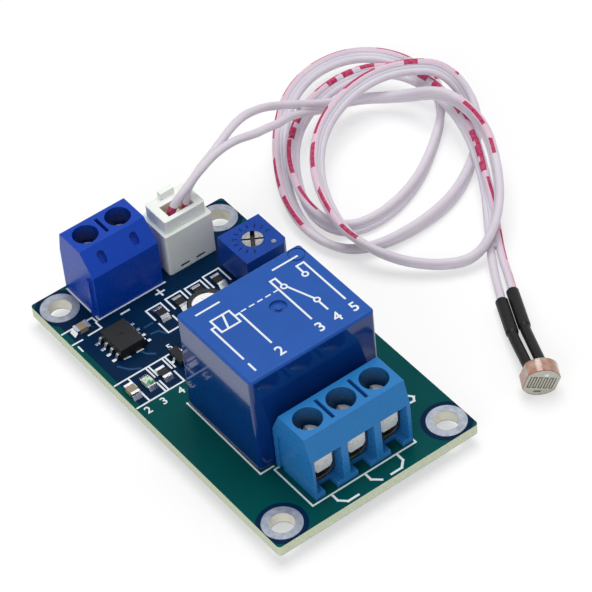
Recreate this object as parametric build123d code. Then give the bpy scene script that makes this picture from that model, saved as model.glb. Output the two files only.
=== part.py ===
from build123d import *
import math
import os

# Light sensor module: a small relay board with two screw terminal blocks,
# a plug-in lead that ends in a light dependent resistor, and a set-point trimmer.
# Millimetres. X runs along the board towards the three pole output block,
# Y across it, Z up, and z = 0 is where the trimmed pins under the board stand.

# Board
board_length = 54.3
board_width = 31.0
board_thickness = 1.6
board_corner = 0.5
pin_stub = 1.8
mount_spacing_x = 48.4
mount_spacing_y = 25.6
mount_hole = 3.2
mount_ring = 5.25
plating = 0.06
pin_clearance = 0.1

# Screw terminal mechanism, the same in both blocks
pole_pitch = 5.08
pole_wall = 1.0
cavity_height = 6.55
foot_height = 0.8
foot_width = 1.1
seat_fit = 0.04
cage_depth = 4.0
cage_wall = 0.6
cage_height = 5.1
cage_lid = 0.7
cage_corner = 1.5
leg_long = 1.0
leg_short = 0.8
screw_head = 3.3
screw_head_height = 1.3
screw_shank = 2.7
screw_run = 0.05
screw_seat = 0.9
guard_sheet = 0.35
guard_width = 1.9
guard_apron = 2.7
guard_level = 2.9
guard_gap = 0.12
slot_width = 0.5
slot_depth = 1.0
end_groove = 0.7
end_groove_depth = 0.4

# Output block, three poles
output_poles = 3
output_gap = 0.235
output_y = 0.0
output_height = 10.0
output_back_height = 6.7
output_top_back = 1.57
output_top_front = 6.77
output_nose = 7.76
output_nose_height = 6.71
output_depth = 7.94
output_slot = 3.8
output_well = 3.8

# Power block, two poles
power_poles = 2
power_x = -19.16
power_y = -4.86
power_height = 10.1
power_back_height = 7.14
power_top_back = 2.62
power_top_front = 7.15
power_nose = 7.7
power_nose_height = 7.1
power_depth = 7.74
power_slot = 3.0
power_well = 3.5
power_dimple_length = 1.9
power_dimple_width = 1.1
power_dimple_depth = 0.7

# Relay
relay_x = 8.22
relay_y = -0.42
relay_width = 15.35
relay_length = 18.95
relay_height = 15.9
relay_standoff = 0.3
relay_wall = 0.9
relay_corner = 0.5
relay_base = 1.8
relay_fit = 0.05
relay_foot = 1.6
yoke_thickness = 1.0
yoke_width = 8.0
yoke_inset = 0.975
yoke_rise = 0.1
relay_headroom = 2.7
coil_inset = 1.0
core_diameter = 3.2
core_head = 5.0
core_head_height = 0.7
bobbin_flange = 9.2
bobbin_barrel = 4.8
bobbin_sheet = 0.7
winding_inset = 0.4
armature_gap = 0.45
armature_thickness = 0.8
armature_inset = 1.4
blade_thickness = 0.25
blade_width = 3.6
contact_diameter = 2.2
contact_height = 0.5
contact_gap = 0.55
strip_thickness = 0.35
strip_width = 2.4
coil_pin = 0.7
contact_pin = 1.0
pin_row_inset = 0.775
coil_pin_inset = 0.2
contact_pin_inset = 1.775
contact_shift = 0.8
relay_mark = 2.3
relay_mark_x = -0.5
relay_mark_y = 0.9
relay_mark_depth = 0.4
relay_nub = 0.9
relay_ring = 2.4
relay_ring_inset = 1.4
relay_ring_width = 0.25

# Sensor header and its plug
header_x = -22.33
header_y = 5.37
header_depth = 5.75
header_length = 7.5
header_height = 6.8
header_wall = 0.75
header_floor = 1.6
header_pin = 0.64
header_pitch = 2.5
header_pin_offset = 0.5
header_pin_height = 6.0
key_slot = 1.2
vent_width = 1.4
vent_height = 0.35
vent_level = 0.5
plug_fit = 0.1
plug_flange = 2.0
plug_flange_inset = 0.55
plug_well_depth = 1.3
plug_well_margin = 0.35
plug_latch_width = 2.1
plug_latch_height = 1.0
contact_shell = 1.5
contact_bore = 0.74

# Trimmer
trimmer_x = -13.3
trimmer_y = 11.0
trimmer_length = 6.6
trimmer_width = 6.7
trimmer_height = 5.28
trimmer_foot = 0.4
trimmer_chamfer = 0.7
rotor_diameter = 2.9
rotor_depth = 1.3
rotor_run = 0.05
rotor_slot_wide = 0.6
rotor_slot_narrow = 0.3
rotor_slot_depth = 0.7
trimmer_pin = 0.6
trimmer_foot_inset = 0.6
trimmer_hole = 0.7
trimmer_hole_x = 2.1
trimmer_hole_y = 1.85
dial_mark = 0.7
dial_line = 0.16

# Comparator chip
chip_x = -13.5
chip_y = -10.1
chip_length = 4.9
chip_width = 3.9
chip_height = 1.6
chip_lift = 0.12
chip_pitch = 1.27
chip_span = 6.0
chip_shoulder = 0.25
chip_foot = 0.5
lead_width = 0.42
lead_sheet = 0.2

# Transistor
transistor_x = -6.4
transistor_y = -6.3
transistor_length = 2.9
transistor_width = 1.3
transistor_height = 1.05
transistor_span = 2.4
transistor_pitch = 0.95
transistor_shoulder = 0.1
transistor_foot = 0.3

# Chip resistors, chip capacitors and indicator
chip_part_length = 2.0
chip_part_width = 1.25
resistor_height = 0.5
ceramic_height = 0.85
led_base_height = 0.35
led_lens_height = 0.75
end_cap = 0.4
column_x = -5.6
column_resistor_y = -9.3
column_led_y = -11.75
column_ceramic_y = -14.2
row_x = -14.5
row_y = -3.4
row_pitch = 3.05
corner_ceramic_x = -19.0
corner_ceramic_y = -12.8

# Flyback diode
diode_x = -3.0
diode_y = 4.8
diode_length = 4.3
diode_width = 2.6
diode_height = 2.2
diode_tab = 1.4
diode_tab_height = 1.1
diode_tab_reach = 0.3
diode_tab_root = 0.8

# Electrolytic capacitor
can_x = -6.4
can_y = -1.1
can_diameter = 5.0
can_height = 6.7
sleeve_wall = 0.15
sleeve_lip = 0.5
can_score = 2.6
can_score_width = 0.16
can_lead = 0.5
can_pitch = 2.0

# Solder
joint_height = 1.2
joint_collar = 0.45
fillet_length = 0.5

# Sensor and lead
lead_diameter = 2.3
strand_diameter = 1.1
sleeve_diameter = 1.7
sleeve_neck = 1.4
sleeve_taper = 1.0
sleeve_bend = 6.0
sleeve_bore = 0.5
splice_share = 0.4
cell_diameter = 5.1
cell_flats = 4.4
cell_thickness = 2.0
cell_roll = -18.0
coil_x = -19.4
coil_middle_y = 37.8
coil_half_length = 23.4
coil_half_width = 16.8
coil_turn = -29.5
coil_hole_x = -21.5
coil_hole = 17.2
coil_height = 7.4
coil_edge = 1.2

board_top = pin_stub + board_thickness
output_x = relay_x + relay_width / 2 + output_gap
relay_inner_x = relay_width / 2 - relay_wall
relay_inner_y = relay_length / 2 - relay_wall
yoke_back = relay_inner_y - yoke_inset
hinge_y = -yoke_back + yoke_thickness
contact_pin_y = relay_inner_y - contact_pin_inset
common_pin_y = contact_pin / 2 - yoke_back
contact_y = contact_pin_y - contact_shift
pin_row_x = relay_inner_x - pin_row_inset
coil_back = hinge_y + coil_inset
coil_front = coil_back + bobbin_flange
coil_pin_y = coil_back + coil_pin_inset
coil_y = coil_back + bobbin_flange / 2
core_top = relay_height - relay_wall - relay_headroom
cage_width = pole_pitch - pole_wall - 2 * seat_fit
guard_front = cage_depth / 2 + guard_gap


def at(x, y, z, shape):
    return Pos(x, y, z) * shape


def post(radius, low, high):
    return Pos(0, 0, low) * Cylinder(radius, high - low, align=(Align.CENTER, Align.CENTER, Align.MIN))


def block(x0, x1, y0, y1, z0, z1):
    middle = Pos((x0 + x1) / 2, (y0 + y1) / 2, (z0 + z1) / 2)
    return middle * Box(x1 - x0, y1 - y0, z1 - z0)


def write(name, *shapes):
    solids = [solid for shape in shapes for solid in shape.solids()]
    export_step(Compound(children=solids), "parts/" + name + ".step")


def pole_offsets(poles):
    return [(index - (poles - 1) / 2) * pole_pitch for index in range(poles)]


# A block's side view, from its blank side at q = 0 to its wire side.
def output_outline():
    slope = [(output_top_back, output_height), (output_top_front, output_height)]
    nose = [(output_nose, output_nose_height), (output_depth, 0)]
    return [(0, 0), (0, output_back_height)] + slope + nose


def power_outline():
    slope = [(power_top_back, power_height), (power_top_front, power_height)]
    nose = [(power_nose, power_nose_height), (power_depth, 0)]
    return [(0, 0), (0, power_back_height)] + slope + nose


output_screw = (output_top_back + output_top_front) / 2
power_screw = (power_top_back + power_top_front) / 2


def place_output(shape):
    return Pos(output_x, output_y, board_top) * shape


def place_power(shape):
    return Pos(power_x, power_y, board_top) * Rot(0, 0, 180) * shape


# Moulded housing: screw wells, wire cavities with feet, link groove and tongue.
def terminal_housing(outline, poles, screw, well, slot_length):
    width = poles * pole_pitch
    top = outline[2][1]
    front = outline[5][0] + 1
    body = extrude(Plane.XZ * make_face(Polyline(*outline, close=True)), width / 2, both=True)
    groove_top = outline[1][1] - end_groove
    groove = block(end_groove, 2 * end_groove, -width, -width / 2 + end_groove_depth, -1, groove_top)
    tongue_end = width / 2 + end_groove_depth - seat_fit
    inner = end_groove + seat_fit
    tongue = block(inner, 2 * end_groove - seat_fit, width / 2 - 1, tongue_end, 0, groove_top - seat_fit)
    body = body - groove + tongue
    half = cage_width / 2 + seat_fit
    back = screw - cage_depth / 2 - seat_fit
    for y in pole_offsets(poles):
        body -= block(back, front, y - half, y + half, foot_height, cavity_height)
        notch = half - foot_width
        body -= block(screw + cage_depth / 2, front, y - notch, y + notch, -1, foot_height + 1)
        body -= at(screw, y, 0, post(well / 2, foot_height, top + 1))
        body -= at(screw, y, 0, post(math.hypot(leg_long, leg_short) / 2 + seat_fit, -1, foot_height + 1))
    for y in pole_offsets(poles)[1:]:
        middle = y - pole_pitch / 2
        side = slot_width / 2
        reach = slot_length / 2
        body -= block(screw - reach, screw + reach, middle - side, middle + side, top - slot_depth, top + 1)
    return body


# Shallow step on the end wall, from the groove's top to the nose.
def end_step(outline, width):
    step = 0.12
    low = outline[1][1] - end_groove
    nose = outline[4]
    front = nose[0] + 1
    corners = [(end_groove, -1), (end_groove, low), nose, (front, nose[1]), (front, -1)]
    wedge = extrude(Plane.XZ * make_face(Polyline(*corners, close=True)), 2 * step)
    return Pos(0, step - width / 2, 0) * wedge


def output_housing():
    outline = output_outline()
    housing = terminal_housing(outline, output_poles, output_screw, output_well, output_slot)
    return place_output(housing - end_step(outline, output_poles * pole_pitch))


def power_housing():
    housing = terminal_housing(power_outline(), power_poles, power_screw, power_well, power_slot)
    rise = power_height - power_back_height
    middle = (power_top_back / 2, 0, power_back_height + rise / 2)
    slope = Plane(origin=middle, x_dir=(power_top_back, 0, rise), z_dir=(-rise, 0, power_top_back))
    oval = slope * SlotOverall(power_dimple_length, power_dimple_width)
    dimple = extrude(oval, power_dimple_depth, both=True)
    for y in pole_offsets(power_poles):
        housing -= Pos(0, y, 0) * dimple
    return place_power(housing)


# Round bottomed cage that the wire enters, with its leg down through the board.
def terminal_cage():
    def ring(width, low, high, radius):
        sketch = Pos(0, (low + high) / 2) * Rectangle(width, high - low)
        return fillet(sketch.vertices().group_by(Axis.Y)[0], radius)

    outer = ring(cage_width, foot_height, cage_height, cage_corner)
    inner_low = foot_height + cage_wall
    inner_high = cage_height - cage_lid
    inner = ring(cage_width - 2 * cage_wall, inner_low, inner_high, cage_corner - cage_wall)
    cage = extrude(Plane.YZ * (outer - inner), cage_depth / 2, both=True)
    cage -= post(screw_shank / 2 + screw_run, inner_high - 0.5, cage_height + 1)
    half_long = leg_long / 2
    half_short = leg_short / 2
    leg = block(-half_long, half_long, -half_short, half_short, -board_top, foot_height + cage_wall / 2)
    return cage + leg


# Sheet guard between screw tip and wire, with its apron in front of the cage.
def wire_guard():
    pad_back = -screw_shank / 2
    low = guard_level
    pad_front = guard_front + guard_sheet
    half = guard_width / 2
    pad = block(pad_back, pad_front, -half, half, low, low + guard_sheet)
    top = cage_height + guard_sheet
    wide = guard_apron / 2
    corners = [(-half, low), (half, low), (wide, low + cage_wall), (wide, top), (-wide, top)]
    sheet = make_face(Polyline(*corners, (-wide, low + cage_wall), close=True))
    apron = Pos(guard_front, 0, 0) * extrude(Plane.YZ * sheet, guard_sheet)
    return pad + apron


def terminal_screw():
    head_low = cage_height + screw_seat
    head_top = head_low + screw_head_height
    head = post(screw_head / 2, head_low, head_top)
    head = chamfer(head.edges().group_by(Axis.Z)[-1], 0.2)
    tip = guard_level + guard_sheet + screw_run
    shank = post(screw_shank / 2, tip, head_low + 0.2)
    cut = block(-screw_head, screw_head, -0.3, 0.3, head_top - 0.7, head_top + 1)
    return head + shank - cut


def terminal_parts(name, poles, screw, place):
    offsets = pole_offsets(poles)
    cages = [place(at(screw, y, 0, terminal_cage())) for y in offsets]
    write(name + "_terminal_cages", *cages)
    for index, y in enumerate(offsets):
        write(name + "_wire_guard_" + str(index + 1), place(at(screw, y, 0, wire_guard())))
        write(name + "_screw_" + str(index + 1), place(at(screw, y, 0, terminal_screw())))


# Relay, in its own frame: x across, y along, z from the board's top face.
def place_relay(shape):
    return Pos(relay_x, relay_y, board_top) * shape


def relay_cover():
    outside = extrude(RectangleRounded(relay_width, relay_length, relay_corner), relay_height - relay_standoff)
    outside = fillet(outside.edges().group_by(Axis.Z)[-1], relay_corner * 0.6)
    inside_width = relay_width - 2 * relay_wall
    inside_length = relay_length - 2 * relay_wall
    inside_height = relay_height - relay_standoff - relay_wall
    cover = outside - extrude(Rectangle(inside_width, inside_length), inside_height)
    cover = Pos(0, 0, relay_standoff) * cover
    floor = relay_height - relay_mark_depth
    mark = post(relay_mark / 2, floor, relay_height + 1) - post(relay_nub / 2, 0, relay_height - relay_mark_depth / 3)
    cover -= at(relay_mark_x, relay_mark_y, 0, mark)
    floor = relay_height - relay_mark_depth / 2
    ring = post(relay_ring / 2, floor, relay_height + 1)
    ring -= post(relay_ring / 2 - relay_ring_width, 0, relay_height + 2)
    return cover - at(relay_ring_inset - relay_width / 2, relay_length / 2 - relay_ring_inset, 0, ring)


def relay_pin_spots():
    coil = [(side * pin_row_x, coil_pin_y, coil_pin / 2) for side in (-1, 1)]
    contact = [(side * pin_row_x, contact_pin_y, contact_pin / 2) for side in (-1, 1)]
    return coil + contact + [(0, common_pin_y, contact_pin / 2)]


def relay_base_plate():
    width = relay_width - 2 * relay_wall - 2 * relay_fit
    length = relay_length - 2 * relay_wall - 2 * relay_fit
    plate = block(-width / 2, width / 2, -length / 2, length / 2, relay_standoff, relay_standoff + relay_base)
    inset = relay_foot
    for x in (inset - width / 2, width / 2 - inset):
        for y in (inset / 2 - length / 2, length / 2 - inset / 2):
            plate += at(x * 0.6, y, 0, post(relay_foot / 2 - 0.1, 0, relay_standoff + 0.5))
    for x, y, radius in relay_pin_spots():
        plate -= at(x, y, 0, post(radius + relay_fit, -1, relay_height))
    return plate


relay_deck = relay_standoff + relay_base
coil_low = relay_deck + yoke_thickness
coil_high = core_top - core_head_height
armature_low = core_top + armature_gap
armature_high = armature_low + armature_thickness
blade_high = armature_high + blade_thickness


def relay_yoke():
    half = yoke_width / 2
    foot = block(-half, half, -yoke_back, coil_y + core_diameter, relay_deck, coil_low)
    wall = block(-half, half, -yoke_back, hinge_y, relay_deck, core_top + yoke_rise)
    return foot + wall - at(0, coil_y, 0, post(core_diameter / 2 - 0.4, relay_deck - 1, coil_low + 1))


def relay_core():
    rivet = post(core_diameter / 2 - 0.4, relay_deck, coil_low)
    shaft = post(core_diameter / 2, coil_low, coil_high)
    head = post(core_head / 2, coil_high, core_top)
    return at(0, coil_y, 0, rivet + shaft + head)


def relay_bobbin():
    half = bobbin_flange / 2
    wing = pin_row_x + coil_pin
    lower = block(-half, half, coil_back, coil_front, coil_low, coil_low + bobbin_sheet)
    lower += block(-wing, wing, coil_pin_y - coil_pin, coil_y, coil_low, coil_low + bobbin_sheet)
    upper = block(-half, half, coil_back, coil_front, coil_high - bobbin_sheet, coil_high)
    barrel = at(0, coil_y, 0, post(bobbin_barrel / 2, coil_low, coil_high))
    bobbin = lower + upper + barrel - at(0, coil_y, 0, post(core_diameter / 2 + 0.02, 0, relay_height))
    for x, y, radius in relay_pin_spots()[:2]:
        bobbin -= at(x, y, 0, post(radius + 0.02, 0, relay_height))
    return bobbin


def relay_winding():
    low = coil_low + bobbin_sheet
    high = coil_high - bobbin_sheet
    radius = bobbin_flange / 2 - winding_inset
    return at(0, coil_y, 0, post(radius, low, high) - post(bobbin_barrel / 2, low - 1, high + 1))


def relay_armature():
    half = yoke_width / 2 - 0.4
    front = contact_y - contact_diameter / 2 - armature_inset
    return block(-half, half, 0.3 - yoke_back, front, armature_low, armature_high)


def relay_moving_contact():
    half = blade_width / 2
    reach = contact_y + contact_diameter / 2
    blade = block(-half, half, hinge_y, reach, armature_high, blade_high)
    button = post(contact_diameter / 2, armature_high - contact_height, blade_high + contact_height)
    return blade + at(0, contact_y, 0, button)


# Fixed contact strip: over the blade or under it, then down to its pin.
def fixed_contact(side, strip_low, button_low, button_high):
    strip_high = strip_low + strip_thickness
    half = strip_width / 2
    reach = contact_diameter / 2
    outer = pin_row_x + strip_thickness / 2
    inner = pin_row_x - strip_thickness / 2
    x0 = min(-side * reach, side * outer)
    x1 = max(-side * reach, side * outer)
    arm = block(x0, x1, contact_y - half, contact_y + half, strip_low, strip_high)
    wall_x = (min(side * inner, side * outer), max(side * inner, side * outer))
    wall = block(*wall_x, contact_y - half, contact_y + half, relay_deck, strip_high)
    button = at(0, contact_y, 0, post(reach, button_low, button_high))
    pin = at(side * pin_row_x, contact_pin_y, 0, post(contact_pin / 2, -board_top, relay_deck + 0.6))
    return arm + wall + button + pin


def relay_closed_contact():
    button_low = blade_high + contact_height + 0.05
    return fixed_contact(1, button_low + 0.2, button_low, button_low + 0.3)


def relay_open_contact():
    button_high = armature_high - contact_height - contact_gap
    strip_low = button_high - contact_height - strip_thickness
    return fixed_contact(-1, strip_low, strip_low + 0.1, button_high)


def relay_coil_pins():
    pins = relay_pin_spots()[:2]
    return [at(x, y, 0, post(r, -board_top, coil_low + bobbin_sheet + 0.4)) for x, y, r in pins]


def relay_common_pin():
    return at(0, common_pin_y, 0, post(contact_pin / 2, -board_top, relay_deck))


# Header for the sensor plug, in its own frame: x = 0 at the middle of its depth.
def place_header(shape):
    return Pos(header_x, header_y, board_top) * shape


def header_pins():
    half = header_pin / 2
    pins = []
    for y in (-header_pitch / 2, header_pitch / 2):
        pin = block(-half, half, -half, half, -board_top, header_pin_height)
        pins.append(place_header(at(header_pin_offset, y, 0, pin)))
    return pins


def header_shell():
    depth = header_depth / 2
    length = header_length / 2
    shell = block(-depth, depth, -length, length, 0, header_height)
    shell = fillet(shell.edges().filter_by(Axis.Z), 0.3)
    inner_x = depth - header_wall
    inner_y = length - header_wall
    shell -= block(-inner_x, inner_x, -inner_y, inner_y, header_floor, header_height + 1)
    for side in (-1, 1):
        key = side * (header_pitch / 2)
        half = key_slot / 2
        shell -= block(-depth - 1, -inner_x + 0.1, key - half, key + half, header_floor, header_height + 1)
        vent = vent_width / 2
        shell -= block(inner_x, depth + 1, key - vent, key + vent, vent_level, vent_level + vent_height)
        shell -= at(header_pin_offset, key, 0, post(header_pin / math.sqrt(2) + 0.02, -1, header_height))
    return place_header(shell)


def plug_housing():
    depth = header_depth / 2
    length = header_length / 2
    inner_x = depth - header_wall - plug_fit
    inner_y = length - header_wall - plug_fit
    low = header_floor + plug_fit
    top = header_height + plug_flange
    plug = block(-inner_x, inner_x, -inner_y, inner_y, low, top)
    rim_x = depth - plug_flange_inset
    rim_y = length - plug_flange_inset
    rim = block(-rim_x, rim_x, -rim_y, rim_y, header_height, top)
    plug += fillet(rim.edges().filter_by(Axis.Z), 0.35)
    latch = plug_latch_width / 2
    plug += block(-rim_x, header_wall - rim_x, -latch, latch, header_height, top + plug_latch_height)
    for side in (-1, 1):
        key = side * header_pitch / 2
        half = key_slot / 2 - plug_fit
        plug += block(-rim_x, -inner_x + 0.2, key - half, key + half, low, top)
        bore = contact_shell / 2 + 0.02
        x = header_pin_offset
        plug -= block(x - bore, x + bore, key - bore, key + bore, low - 1, top + 1)
    well_x = bore + plug_well_margin
    well_y = header_pitch / 2 + bore
    plug -= block(x - well_x, x + well_x, -well_y, well_y, top - plug_well_depth, top + 1)
    return place_header(plug)


def plug_contacts():
    low = header_floor + 2 * plug_fit
    half = contact_shell / 2
    bore = contact_bore / 2
    contacts = []
    for y in (-header_pitch / 2, header_pitch / 2):
        shell = block(-half, half, -half, half, low, header_height + 0.5)
        shell -= block(-bore, bore, -bore, bore, low - 1, header_pin_height + 0.2)
        contacts.append(place_header(at(header_pin_offset, y, 0, shell)))
    return contacts


# Trimmer with a cross slotted rotor
trimmer_pin_spots = [(-2.54, -2.3), (2.54, -2.3), (0, 2.3)]


def place_trimmer(shape):
    return Pos(trimmer_x, trimmer_y, board_top) * shape


def trimmer_body():
    half_x = trimmer_length / 2
    half_y = trimmer_width / 2
    body = block(-half_x, half_x, -half_y, half_y, trimmer_foot, trimmer_height)
    corner = body.edges().filter_by(Axis.Z).sort_by(lambda edge: edge.center().X + edge.center().Y)[-1]
    body = chamfer(corner, trimmer_chamfer)
    for x in (half_x - trimmer_foot_inset, trimmer_foot_inset - half_x):
        for y in (half_y - trimmer_foot_inset, trimmer_foot_inset - half_y):
            body += at(x, y, 0, post(0.5, 0, trimmer_foot + 0.3))
    well = rotor_diameter / 2 + rotor_run
    body -= post(well, trimmer_height - rotor_depth, trimmer_height + 1)
    hole = post(trimmer_hole / 2, trimmer_height - trimmer_hole, trimmer_height + 1)
    body -= at(trimmer_hole_x, trimmer_hole_y, 0, hole)
    dial = (well + half_x) / 2
    for step in range(11):
        mark = at(dial, 0, trimmer_height, Box(dial_mark, dial_line, dial_line))
        body -= Rot(0, 0, 90 + 24 * step) * mark
    for x, y in trimmer_pin_spots:
        body -= at(x, y, 0, post(trimmer_pin / 2 + 0.02, -1, trimmer_foot + 1))
    return place_trimmer(body)


def trimmer_rotor():
    low = trimmer_height - rotor_depth
    high = trimmer_height
    rotor = post(rotor_diameter / 2, low, high)
    wide = rotor_slot_wide / 2
    narrow = rotor_slot_narrow / 2
    floor = high - rotor_slot_depth
    reach = rotor_diameter
    rotor -= block(-reach, reach, -wide, wide, floor, high + 1)
    rotor -= block(-narrow, narrow, -reach, reach, floor, high + 1)
    return place_trimmer(Rot(0, 0, 147) * rotor)


def trimmer_pins():
    pin = post(trimmer_pin / 2, -board_top, trimmer_foot + 0.9)
    return [place_trimmer(at(x, y, 0, pin)) for x, y in trimmer_pin_spots]


# Bent lead: out of the body, down and out again along the board.
def gull_lead(body_edge, reach, level, shoulder, foot):
    root = body_edge - lead_sheet
    bend = body_edge + shoulder
    heel = reach - foot
    low = level - lead_sheet
    outer = [(root, level), (bend, level), (heel, lead_sheet), (reach, lead_sheet)]
    inner = [(reach, 0), (heel - lead_sheet / 2, 0), (bend - lead_sheet / 2, low), (root, low)]
    profile = make_face(Polyline(*outer, *inner, close=True))
    return extrude(Plane.XZ * profile, lead_width / 2, both=True)


def moulded_body(length, width, low, high):
    half = (low + high) / 2
    base = Pos(0, 0, low) * extrude(Rectangle(length - 0.16, width - 0.16), half - low, taper=-6)
    cap = Pos(0, 0, half) * extrude(Rectangle(length, width), high - half, taper=8)
    return base + cap


def chip_leads():
    lead = gull_lead(chip_width / 2, chip_span / 2, 0.95, chip_shoulder, chip_foot)
    leads = []
    for index in range(4):
        x = chip_x + (index - 1.5) * chip_pitch
        leads.append(at(x, chip_y, board_top, Rot(0, 0, 90) * lead))
        leads.append(at(x, chip_y, board_top, Rot(0, 0, -90) * lead))
    return leads


def chip_body():
    body = at(chip_x, chip_y, board_top, moulded_body(chip_length, chip_width, chip_lift, chip_height))
    body -= at(chip_x, chip_y, board_top, post(0.35, chip_height - 0.08, chip_height + 1))
    for lead in chip_leads():
        body -= lead
    return body


def transistor_leads():
    half = transistor_width / 2
    lead = gull_lead(half, transistor_span / 2, 0.7, transistor_shoulder, transistor_foot)
    spots = [(-transistor_pitch, 90), (transistor_pitch, 90), (0, -90)]
    return [at(transistor_x + x, transistor_y, board_top, Rot(0, 0, turn) * lead) for x, turn in spots]


def transistor_body():
    shape = moulded_body(transistor_length, transistor_width, chip_lift, transistor_height)
    body = at(transistor_x, transistor_y, board_top, shape)
    for lead in transistor_leads():
        body -= lead
    return body


# Chip parts: (x, y, turn) with their long side along X at turn 0.
resistor_spots = [(column_x, column_resistor_y, 0)]
resistor_spots += [(row_x, row_y + row_pitch * index, 0) for index in range(4)]
ceramic_spots = [(corner_ceramic_x, corner_ceramic_y, 90), (column_x, column_ceramic_y, 0)]
led_spot = (column_x, column_led_y, 0)


def chip_place(spot, shape):
    return Pos(spot[0], spot[1], board_top) * Rot(0, 0, spot[2]) * shape


def chip_ends(spot, height):
    half = chip_part_length / 2
    side = chip_part_width / 2
    left = block(-half, end_cap - half, -side, side, 0, height)
    right = block(half - end_cap, half, -side, side, 0, height)
    return [chip_place(spot, left), chip_place(spot, right)]


def chip_core(spot, height):
    half = chip_part_length / 2 - end_cap
    side = chip_part_width / 2
    return chip_place(spot, block(-half, half, -side, side, 0.03, height - 0.03))


def led_lens():
    half = chip_part_length / 2 - end_cap
    side = chip_part_width / 2
    lens = block(-half, half, -side, side, led_base_height, led_lens_height)
    lens = chamfer(lens.faces().sort_by(Axis.Z)[-1].edges(), 0.15)
    base = block(-half, half, -side, side, 0.03, led_base_height)
    return chip_place(led_spot, lens + base)


def diode_body():
    shape = moulded_body(diode_width, diode_length, chip_lift, diode_height)
    body = at(diode_x, diode_y, board_top, shape)
    for tab in diode_tabs():
        body -= tab
    return body


def diode_tabs():
    half = diode_tab / 2
    inner = diode_length / 2 - diode_tab_root
    outer = diode_length / 2 + diode_tab_reach
    high = diode_tab_height
    rise = block(outer - lead_sheet, outer, -half, half, 0, high)
    sole = block(inner, outer, -half, half, 0, lead_sheet)
    roof = block(inner, outer, -half, half, high - lead_sheet, high)
    tab = rise + sole + roof
    return [at(diode_x, diode_y, board_top, Rot(0, 0, turn) * tab) for turn in (90, -90)]


# Electrolytic capacitor
def can_body():
    can = post(can_diameter / 2, relay_standoff, can_height)
    can = chamfer(can.edges().group_by(Axis.Z)[-1], 0.3)
    for turn in (0, 90):
        can -= Rot(0, 0, turn) * Pos(0, 0, can_height) * Box(can_score, can_score_width, can_score_width)
    return at(can_x, can_y, board_top, can)


def can_sleeve():
    inner = can_diameter / 2
    outer = inner + sleeve_wall
    tube = post(outer, relay_standoff, can_height + sleeve_wall)
    tube = chamfer(tube.edges().group_by(Axis.Z)[-1], sleeve_wall * 0.9)
    tube -= post(inner, 0, can_height)
    tube -= post(inner - sleeve_lip, 0, can_height + 1)
    return at(can_x, can_y, board_top, tube)


def can_leads():
    lead = post(can_lead / 2, -board_top, relay_standoff)
    return [at(can_x, can_y + side * can_pitch / 2, board_top, lead) for side in (-1, 1)]


# Every through pin: its place on the board and the radius that it needs.
def through_pins():
    pins = [(relay_x + x, relay_y + y, radius) for x, y, radius in relay_pin_spots()]
    leg = math.hypot(leg_long, leg_short) / 2
    pins += [(output_x + output_screw, output_y + y, leg) for y in pole_offsets(output_poles)]
    pins += [(power_x - power_screw, power_y - y, leg) for y in pole_offsets(power_poles)]
    for side in (-1, 1):
        pins.append((header_x + header_pin_offset, header_y + side * header_pitch / 2, header_pin / math.sqrt(2)))
        pins.append((can_x, can_y + side * can_pitch / 2, can_lead / 2))
    pins += [(trimmer_x + x, trimmer_y + y, trimmer_pin / 2) for x, y in trimmer_pin_spots]
    return pins


mount_spots = [(x * mount_spacing_x / 2, y * mount_spacing_y / 2) for x in (-1, 1) for y in (-1, 1)]


def circuit_board():
    board = extrude(RectangleRounded(board_length, board_width, board_corner), board_thickness)
    for x, y in mount_spots:
        board -= at(x, y, 0, post(mount_hole / 2 + plating, -1, board_thickness + 1))
    for x, y, radius in through_pins():
        board -= at(x, y, 0, post(radius + pin_clearance, -1, board_thickness + 1))
    return Pos(0, 0, pin_stub) * board


def mounting_rings():
    rings = []
    for x, y in mount_spots:
        ring = post(mount_ring / 2, pin_stub - plating, board_top + plating)
        ring -= post(mount_ring, pin_stub, board_top) - post(mount_hole / 2 + plating, 0, 2 * board_top)
        ring -= post(mount_hole / 2, 0, 2 * board_top)
        rings.append(at(x, y, 0, ring))
    return rings


# Cone of solder round each pin under the board, and fillets at the chip parts' ends.
def pin_joint(radius):
    cone = Cone(radius + 0.1, radius + joint_collar, joint_height, align=(Align.CENTER, Align.CENTER, Align.MIN))
    return cone - post(radius, -1, joint_height + 1)


def end_fillet(spot, height):
    half = chip_part_length / 2
    side = chip_part_width / 2
    profile = make_face(Polyline((half, 0), (half + fillet_length, 0), (half, height), close=True))
    wedge = extrude(Plane.XZ * profile, side, both=True)
    return [chip_place(spot, wedge), chip_place(spot, Rot(0, 0, 180) * wedge)]


def solder_joints():
    joints = [at(x, y, pin_stub - joint_height, pin_joint(radius)) for x, y, radius in through_pins()]
    for spot in resistor_spots:
        joints += end_fillet(spot, resistor_height * 0.8)
    for spot in ceramic_spots + [led_spot]:
        joints += end_fillet(spot, led_lens_height * 0.7)
    return joints


# Lead and sensor. The lead's points run from the plug to the sleeves.
lead_start = (-21.83, 5.37, 12.2)
arch = [(-21.83, 5.37, 15.4), (-21.2, 7.3, 18.1), (-20.8, 11.3, 19.7), (-22.2, 15.9, 18.6)]
lead_arch = [lead_start] + arch + [(-25.0, 20.6, 15.3), (-28.0, 25.3, 11.0), (-30.6, 29.9, 6.6)]
lead_tail = [(0.6, 39.7, 1.6), (4.0, 37.4, 1.2), (7.6, 35.4, 1.2), (9.96, 34.14, 1.2)]
near_sleeve = [(10.84, 32.64, 0.95), (17.36, 29.29, 1.6), (24.16, 26.48, 2.6)]
far_sleeve = [(10.34, 34.87, 0.95), (17.49, 31.19, 1.7), (24.97, 27.95, 2.87)]
near_strand = (9.55, 33.32, 0.93)
cell_back = (24.58, 27.31, 2.78)
cell_front = (26.32, 26.35, 2.54)


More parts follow.
